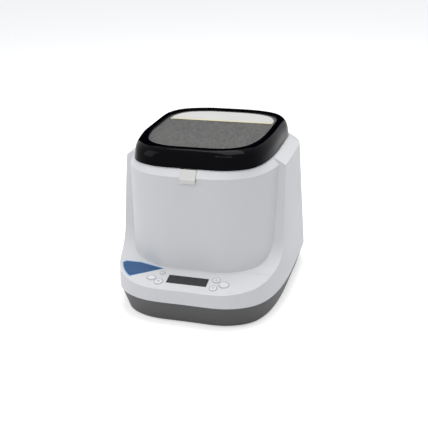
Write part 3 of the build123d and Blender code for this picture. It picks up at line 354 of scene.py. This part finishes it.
# Deck controls
# A printed film over the deck, keys that come up through it, and the display.
overlay_film = plastic(
    "overlay_film",
    (0.725, 0.73, 0.74),
    drift=0.015,
    gloss=(0.36, 0.44),
    bump=0.05,
    specular=0.35,
)
finish_nodes(overlay_film, "control_overlay")
key_white = plastic("key_white", (0.80, 0.81, 0.82), drift=0.015, gloss=(0.3, 0.4), bump=0.03)
finish_nodes(key_white, "key_lamp", "key_open", "key_stop", "key_up", "key_down", "key_start")
badge_blue = plastic("badge_blue", (0.028, 0.095, 0.235), drift=0.08, gloss=(0.25, 0.35), bump=0.03)
finish_nodes(badge_blue, "badge_plate")
display_pane = plastic(
    "display_pane",
    (0.045, 0.046, 0.049),
    drift=0.04,
    gloss=(0.2, 0.28),
    bump=0.01,
    specular=0.2,
)
finish_nodes(display_pane, "display_window")

# The deck's own axes: across, up the slope, and out of it.
deck_turn = radians(13.3)
deck_front_y = -0.162
deck_front_z = 0.0602
deck_frame = Matrix(
    (
        (1, 0, 0, 0),
        (0, cos(deck_turn), -sin(deck_turn), deck_front_y),
        (0, sin(deck_turn), cos(deck_turn), deck_front_z),
        (0, 0, 0, 1),
    )
)


def deck_print(title, body, material, draw, height, thickness=0.00006):
    """A thin printed mark on the deck or on a key, drawn in millimetres."""
    mark = bmesh.new()
    draw(mark)
    bmesh.ops.scale(mark, vec=(0.001, 0.001, 0.001), verts=mark.verts)
    made = bmesh.ops.extrude_face_region(mark, geom=mark.faces[:])
    raised = [part for part in made["geom"] if isinstance(part, bmesh.types.BMVert)]
    bmesh.ops.translate(mark, vec=(0, 0, thickness), verts=raised)
    bmesh.ops.transform(mark, matrix=deck_frame @ Matrix.Translation((0, 0, height)), verts=mark.verts)
    bmesh.ops.recalc_face_normals(mark, faces=mark.faces)
    mesh = bpy.data.meshes.new(title)
    mark.to_mesh(mesh)
    mark.free()
    piece = bpy.data.objects.new(title, mesh)
    bpy.context.scene.collection.objects.link(piece)
    mesh.materials.append(material)
    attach(piece, body)


def oval_ring(mark, x, s, width, height, line):
    """A ring round an oval, as a flat face with a hole."""
    place = Matrix.Translation((x, s, 0))
    made = bmesh.ops.create_circle(mark, cap_ends=True, segments=48, radius=0.5, matrix=place)
    centre = Matrix.Translation((-x, -s, 0))
    bmesh.ops.scale(mark, vec=(width, height, 1), space=centre, verts=made["verts"])
    rim = list({face for vert in made["verts"] for face in vert.link_faces})
    bmesh.ops.inset_region(mark, faces=rim, thickness=line, use_boundary=True, use_even_offset=True)
    bmesh.ops.delete(mark, geom=rim, context="FACES")


ink_lilac = plastic("ink_lilac", (0.42, 0.41, 0.55), drift=0.1, gloss=(0.4, 0.5), bump=0.0)
ink_pale = plastic("ink_pale", (0.30, 0.32, 0.40), drift=0.1, gloss=(0.4, 0.5), bump=0.0)
key_places = {
    "key_lamp": (-43.5, 37.6, 6.5, 6.5),
    "key_open": (-57.4, 24.2, 12.5, 9.5),
    "key_stop": (-43.5, 17.0, 11.5, 11.5),
    "key_up": (43.5, 34.0, 10.0, 10.0),
    "key_down": (43.5, 15.6, 10.0, 10.0),
    "key_start": (57.4, 25.6, 14.0, 12.5),
}
film_top = -0.0001
outline_growth = 2.8
outline_line = 0.7
for name, (x, s, width, height) in key_places.items():
    deck_print(
        f"{name}_outline",
        "base",
        ink_pale,
        lambda mark: oval_ring(mark, x, s, width + outline_growth, height + outline_growth, outline_line),
        film_top,
    )


def triangle(mark, x, s, size, way):
    """An arrow head that points up or down the deck."""
    arrow = ((-1, -0.6), (1, -0.6), (0, 1))
    corners = [mark.verts.new((x + size * a, s + way * size * b, 0)) for a, b in arrow]
    bmesh.ops.contextual_create(mark, geom=corners)


key_top = 0.0009
lamp_ring = 3.2
lamp_line = 0.5
arrows = (("up", 2.1, 1), ("down", 2.1, -1), ("stop", 2.3, -1))
for title, size, way in arrows:
    x, s = key_places[f"key_{title}"][:2]
    deck_print(
        f"mark_{title}",
        f"key_{title}_button",
        ink_lilac,
        lambda mark: triangle(mark, x, s, size, way),
        key_top,
    )
lamp_x, lamp_s = key_places["key_lamp"][:2]
deck_print(
    "mark_lamp",
    "key_lamp_button",
    ink_lilac,
    lambda mark: oval_ring(mark, lamp_x, lamp_s, lamp_ring, lamp_ring, lamp_line),
    key_top,
)


border = 2.0  # millimetres of pale border round the badge


def badge_border(mark):
    """The badge's outline, grown by its pale border."""
    outline = (
        (-114.4, 52.0),
        (-109.5, 55.6),
        (-85.2, 55.6),
        (-46.5, 47.2),
        (-92.5, 23.0),
        (-101.0, 30.0),
        (-107.4, 38.0),
        (-111.6, 45.2),
    )
    corners = [mark.verts.new((x, s, 0)) for x, s in outline]
    bmesh.ops.contextual_create(mark, geom=corners)
    spans = [max(values) - min(values) for values in zip(*outline)]
    middles = [(max(values) + min(values)) / 2 for values in zip(*outline)]
    growth = [1 + 2 * border / span for span in spans]
    centre = Matrix.Translation((-middles[0], -middles[1], 0))
    bmesh.ops.scale(mark, vec=(*growth, 1), space=centre, verts=mark.verts)


halo_pale = plastic("halo_pale", (0.36, 0.55, 0.82), drift=0.04, gloss=(0.36, 0.44), bump=0.03)
deck_print("badge_border", "base", halo_pale, badge_border, film_top)
module_black = plastic("module_black", (0.02, 0.02, 0.02))
finish_nodes(module_black, "display_module")
board_green = plastic("board_green", (0.01, 0.09, 0.04), gloss=(0.3, 0.4))
finish_nodes(board_green, "control_board")

# Chamber and rotor
# Spun stainless bowl; bead-blasted aluminium yoke and plate carriers.


def brushed_metal():
    """Colour, gloss and height of metal with fine lines along one axis."""
    group = bpy.data.node_groups.new("brushed_metal", "ShaderNodeTree")
    face = group.interface
    face.new_socket("Color", in_out="INPUT", socket_type="NodeSocketColor")
    face.new_socket("Stretch", in_out="INPUT", socket_type="NodeSocketVector")
    face.new_socket("Gloss Low", in_out="INPUT", socket_type="NodeSocketFloat")
    face.new_socket("Gloss High", in_out="INPUT", socket_type="NodeSocketFloat")
    face.new_socket("Color", in_out="OUTPUT", socket_type="NodeSocketColor")
    face.new_socket("Roughness", in_out="OUTPUT", socket_type="NodeSocketFloat")
    face.new_socket("Height", in_out="OUTPUT", socket_type="NodeSocketFloat")
    new, link = group.nodes.new, group.links.new
    given, result = new("NodeGroupInput"), new("NodeGroupOutput")
    place = new("ShaderNodeTexCoord")
    drawn = new("ShaderNodeVectorMath")
    drawn.operation = "MULTIPLY"
    link(place.outputs["Object"], drawn.inputs[0])
    link(given.outputs["Stretch"], drawn.inputs[1])
    lines = new("ShaderNodeTexNoise")
    lines.inputs["Scale"].default_value = 1
    lines.inputs["Detail"].default_value = 3
    link(drawn.outputs["Vector"], lines.inputs["Vector"])
    gloss = new("ShaderNodeMapRange")
    link(lines.outputs["Fac"], gloss.inputs["Value"])
    link(given.outputs["Gloss Low"], gloss.inputs["To Min"])
    link(given.outputs["Gloss High"], gloss.inputs["To Max"])
    tone = new("ShaderNodeMapRange")
    link(lines.outputs["Fac"], tone.inputs["Value"])
    tone.inputs["To Min"].default_value = 0.9
    tone.inputs["To Max"].default_value = 1.1
    tint = new("ShaderNodeVectorMath")
    tint.operation = "SCALE"
    link(given.outputs["Color"], tint.inputs[0])
    link(tone.outputs["Result"], tint.inputs["Scale"])
    link(tint.outputs["Vector"], result.inputs["Color"])
    link(gloss.outputs["Result"], result.inputs["Roughness"])
    link(lines.outputs["Fac"], result.inputs["Height"])
    return group


brushed = brushed_metal()


def metal(name, color, stretch=(900, 900, 900), gloss=(0.25, 0.4), bump=0.05):
    """A metal whose fine lines run along the axis with the smallest stretch."""
    material, tree, shader = node_tree(name)
    skin = tree.nodes.new("ShaderNodeGroup")
    skin.node_tree = brushed
    skin.inputs["Color"].default_value = (*color, 1)
    skin.inputs["Stretch"].default_value = stretch
    skin.inputs["Gloss Low"].default_value, skin.inputs["Gloss High"].default_value = gloss
    relief = tree.nodes.new("ShaderNodeBump")
    relief.inputs["Strength"].default_value = bump
    relief.inputs["Distance"].default_value = 0.0002
    tree.links.new(skin.outputs["Height"], relief.inputs["Height"])
    tree.links.new(skin.outputs["Color"], shader.inputs["Base Color"])
    tree.links.new(skin.outputs["Roughness"], shader.inputs["Roughness"])
    tree.links.new(relief.outputs["Normal"], shader.inputs["Normal"])
    shader.inputs["Metallic"].default_value = 1.0
    return material


bowl_steel = metal("bowl_steel", (0.60, 0.60, 0.61), stretch=(40, 40, 2200), gloss=(0.28, 0.42))
finish_nodes(bowl_steel, "chamber_bowl")
rotor_aluminium = metal(
    "rotor_aluminium",
    (0.66, 0.67, 0.68),
    stretch=(1400, 1400, 1400),
    gloss=(0.38, 0.5),
    bump=0.1,
)
finish_nodes(rotor_aluminium, "rotor_yoke", "plate_carrier_left", "plate_carrier_right")
nut_black = plastic("nut_black", (0.02, 0.02, 0.022), gloss=(0.3, 0.4))
finish_nodes(nut_black, "rotor_nut")

# Latch, hinges and lock
# Pressed stainless tab and striker; black painted hinges; polished pins.
latch_steel = metal("latch_steel", (0.50, 0.50, 0.49), stretch=(30, 2200, 2200), gloss=(0.34, 0.46))
finish_nodes(latch_steel, "latch_tab", "latch_block", "lid_striker")
pin_steel = metal("pin_steel", (0.62, 0.62, 0.63), stretch=(600, 600, 600), gloss=(0.12, 0.2))
finish_nodes(pin_steel, "latch_pin", "hinge_pin_left", "hinge_pin_right", "lock_plunger", "spindle")
hinge_black = plastic("hinge_black", (0.02, 0.02, 0.022), gloss=(0.35, 0.5), bump=0.1, grain=500)
finish_nodes(hinge_black, "hinge_arm_left", "hinge_arm_right", "hinge_bracket_left", "hinge_bracket_right")
finish_nodes(hinge_black, "lock_solenoid", "motor_body")

# Rear panel and inside
# Painted steel panel, black inlet and rocker, and the plated metal inside.
panel_grey = plastic("panel_grey", (0.22, 0.22, 0.225), drift=0.04, gloss=(0.4, 0.55), bump=0.12, grain=700)
finish_nodes(panel_grey, "rear_panel")
inlet_black = plastic("inlet_black", (0.018, 0.018, 0.019), gloss=(0.35, 0.45), bump=0.05)
finish_nodes(inlet_black, "power_inlet", "switch_frame", "rocker_switch")
plated_steel = metal("plated_steel", (0.55, 0.55, 0.53), stretch=(300, 300, 300), gloss=(0.3, 0.5))
finish_nodes(plated_steel, "chassis_plate", "motor_plate", "power_supply")
screw_steel = metal("screw_steel", (0.5, 0.5, 0.51), stretch=(900, 900, 900), gloss=(0.2, 0.35))
finish_nodes(screw_steel, "base_screws", "panel_screws", "board_screws", "liner_screws", "rotor_screws")
